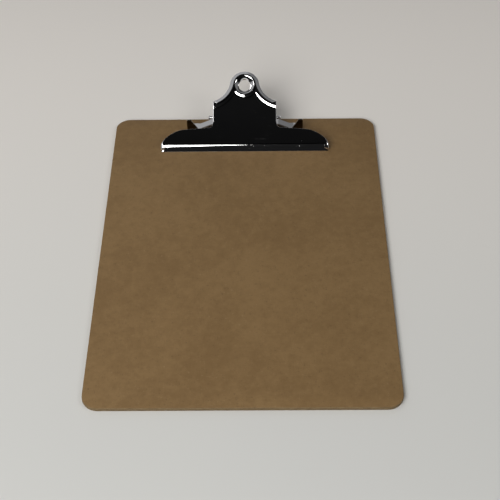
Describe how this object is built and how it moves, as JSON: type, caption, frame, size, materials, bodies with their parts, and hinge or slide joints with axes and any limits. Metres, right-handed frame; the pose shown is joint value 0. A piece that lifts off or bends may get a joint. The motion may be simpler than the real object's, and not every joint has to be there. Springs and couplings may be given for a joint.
{
  "type": "clipboard",
  "caption": "Letter-size hardboard clipboard with a sprung chrome lever clip at its head and a hang hole in the lever.",
  "frame": {"origin": "centre of the board's back face", "axes": "+X across the board to the right as seen from its front, +Y up the board towards the clip, +Z out of its front"},
  "size_m": [0.2286, 0.3332, 0.0457],
  "materials": {
    "hardboard": "tempered brown fibreboard, smooth face with fine fibre flecks",
    "chrome_plate": "bright chrome plate on stamped steel, with light handling scratches",
    "pin_steel": "plated drawn rod",
    "spring_wire": "drawn spring wire, dull plated",
    "rivet_steel": "plated, slightly worn"
  },
  "bodies": {
    "board_body": {"board": "hardboard", "base_plate": "chrome_plate", "hinge_pin": "pin_steel", "spring_left": "spring_wire", "spring_right": "spring_wire", "rivet_left": "rivet_steel", "rivet_right": "rivet_steel"},
    "lever_body": {"clip_lever": "chrome_plate"}
  },
  "joints": [
    {"name": "clip_hinge", "type": "hinge", "parent": "board_body", "child": "lever_body", "pos_m": [0, 0.1452, 0.016], "axis": [-1, 0, 0], "range_deg": [0, 40], "stiffness_Nm_per_rad": 0.6, "springref_deg": -68.75, "deforming": ["spring_left", "spring_right"]}
  ]
}
